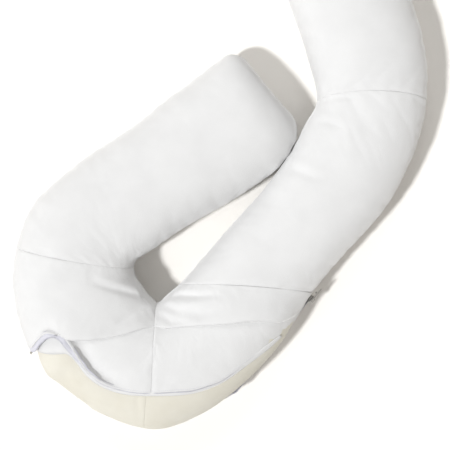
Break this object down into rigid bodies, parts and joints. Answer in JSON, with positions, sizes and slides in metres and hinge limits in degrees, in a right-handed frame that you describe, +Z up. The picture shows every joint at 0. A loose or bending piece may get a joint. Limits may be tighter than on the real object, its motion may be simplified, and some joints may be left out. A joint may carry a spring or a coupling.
{
  "type": "nursing pillow",
  "caption": "Long fibre-filled tube pillow curled into a hook, in a white zip-off cover that stands open round the bend and shows the cream cushion inside.",
  "frame": {"origin": "on the floor, below the middle of the whole pillow's box", "axes": "+Z up from the side it lies on, +Y along its longest reach, from the bend towards the head end, +X across, from the hook's bend towards the long arm"},
  "size_m": [0.825, 1.296, 0.15],
  "materials": {
    "cover_velour": "soft brushed velour, matte",
    "zip_lining": "plain woven strip, matte",
    "casing_cotton": "fine woven cotton, unbleached, matte",
    "fibre_filling": "loose hollow fibre",
    "zip_tape": "woven polyester tape, slight sheen",
    "nylon_teeth": "moulded coil",
    "zinc": "nickel-plated die casting"
  },
  "bodies": {
    "bend": {"cover_top_bend_left": "cover_velour", "cover_under_bend_left": "cover_velour", "casing_top_bend_left": "casing_cotton", "casing_under_bend_left": "casing_cotton", "cover_top_bend_right": "cover_velour", "cover_under_bend_right": "cover_velour", "casing_top_bend_right": "casing_cotton", "casing_under_bend_right": "casing_cotton", "filling_bend": "fibre_filling", "zip_upper_tape": "zip_tape", "zip_lower_tape": "zip_tape", "zip_upper_teeth": "nylon_teeth", "zip_lower_teeth": "nylon_teeth", "zip_guard_strip": "zip_lining", "zip_start_stop": "zinc", "zip_lower_end_stop": "zinc", "zip_upper_end_stop": "zinc"},
    "hook_arm": {"cover_top_hook": "cover_velour", "cover_under_hook": "cover_velour", "casing_top_hook": "casing_cotton", "casing_under_hook": "casing_cotton", "filling_hook": "fibre_filling"},
    "long_arm": {"cover_top_long_arm": "cover_velour", "cover_under_long_arm": "cover_velour", "casing_top_long_arm": "casing_cotton", "casing_under_long_arm": "casing_cotton", "filling_long_arm": "fibre_filling"},
    "head_arm": {"cover_top_head": "cover_velour", "cover_under_head": "cover_velour", "casing_top_head": "casing_cotton", "casing_under_head": "casing_cotton", "filling_head": "fibre_filling"},
    "zip_slider": {"zip_slider": "zinc"},
    "zip_pull": {"zip_pull_tab": "zinc"}
  },
  "joints": [
    {"name": "hook_arm_flex", "type": "hinge", "parent": "bend", "child": "hook_arm", "pos_m": [-0.4055, -0.27898, 0.07], "axis": [0, 0, 1], "range_deg": [0, 20], "stiffness_Nm_per_rad": 2},
    {"name": "long_arm_flex", "type": "hinge", "parent": "bend", "child": "long_arm", "pos_m": [0.1905, -0.37098, 0.07], "axis": [0, 0, -1], "range_deg": [0, 12], "stiffness_Nm_per_rad": 2},
    {"name": "head_arm_flex", "type": "hinge", "parent": "long_arm", "child": "head_arm", "pos_m": [0.4125, 0.01102, 0.07], "axis": [0, 0, -1], "range_deg": [0, 20], "stiffness_Nm_per_rad": 2},
    {"name": "zip_slider_travel", "type": "slide", "parent": "bend", "child": "zip_slider", "axis": [-0.6183, -0.7859, 0], "range_m": [0, 0.225]},
    {"name": "pull_tab_swing", "type": "hinge", "parent": "zip_slider", "child": "zip_pull", "pos_m": [0.18648, -0.38564, 0.0587], "axis": [0, 0, -1], "range_deg": [0, 170]}
  ]
}
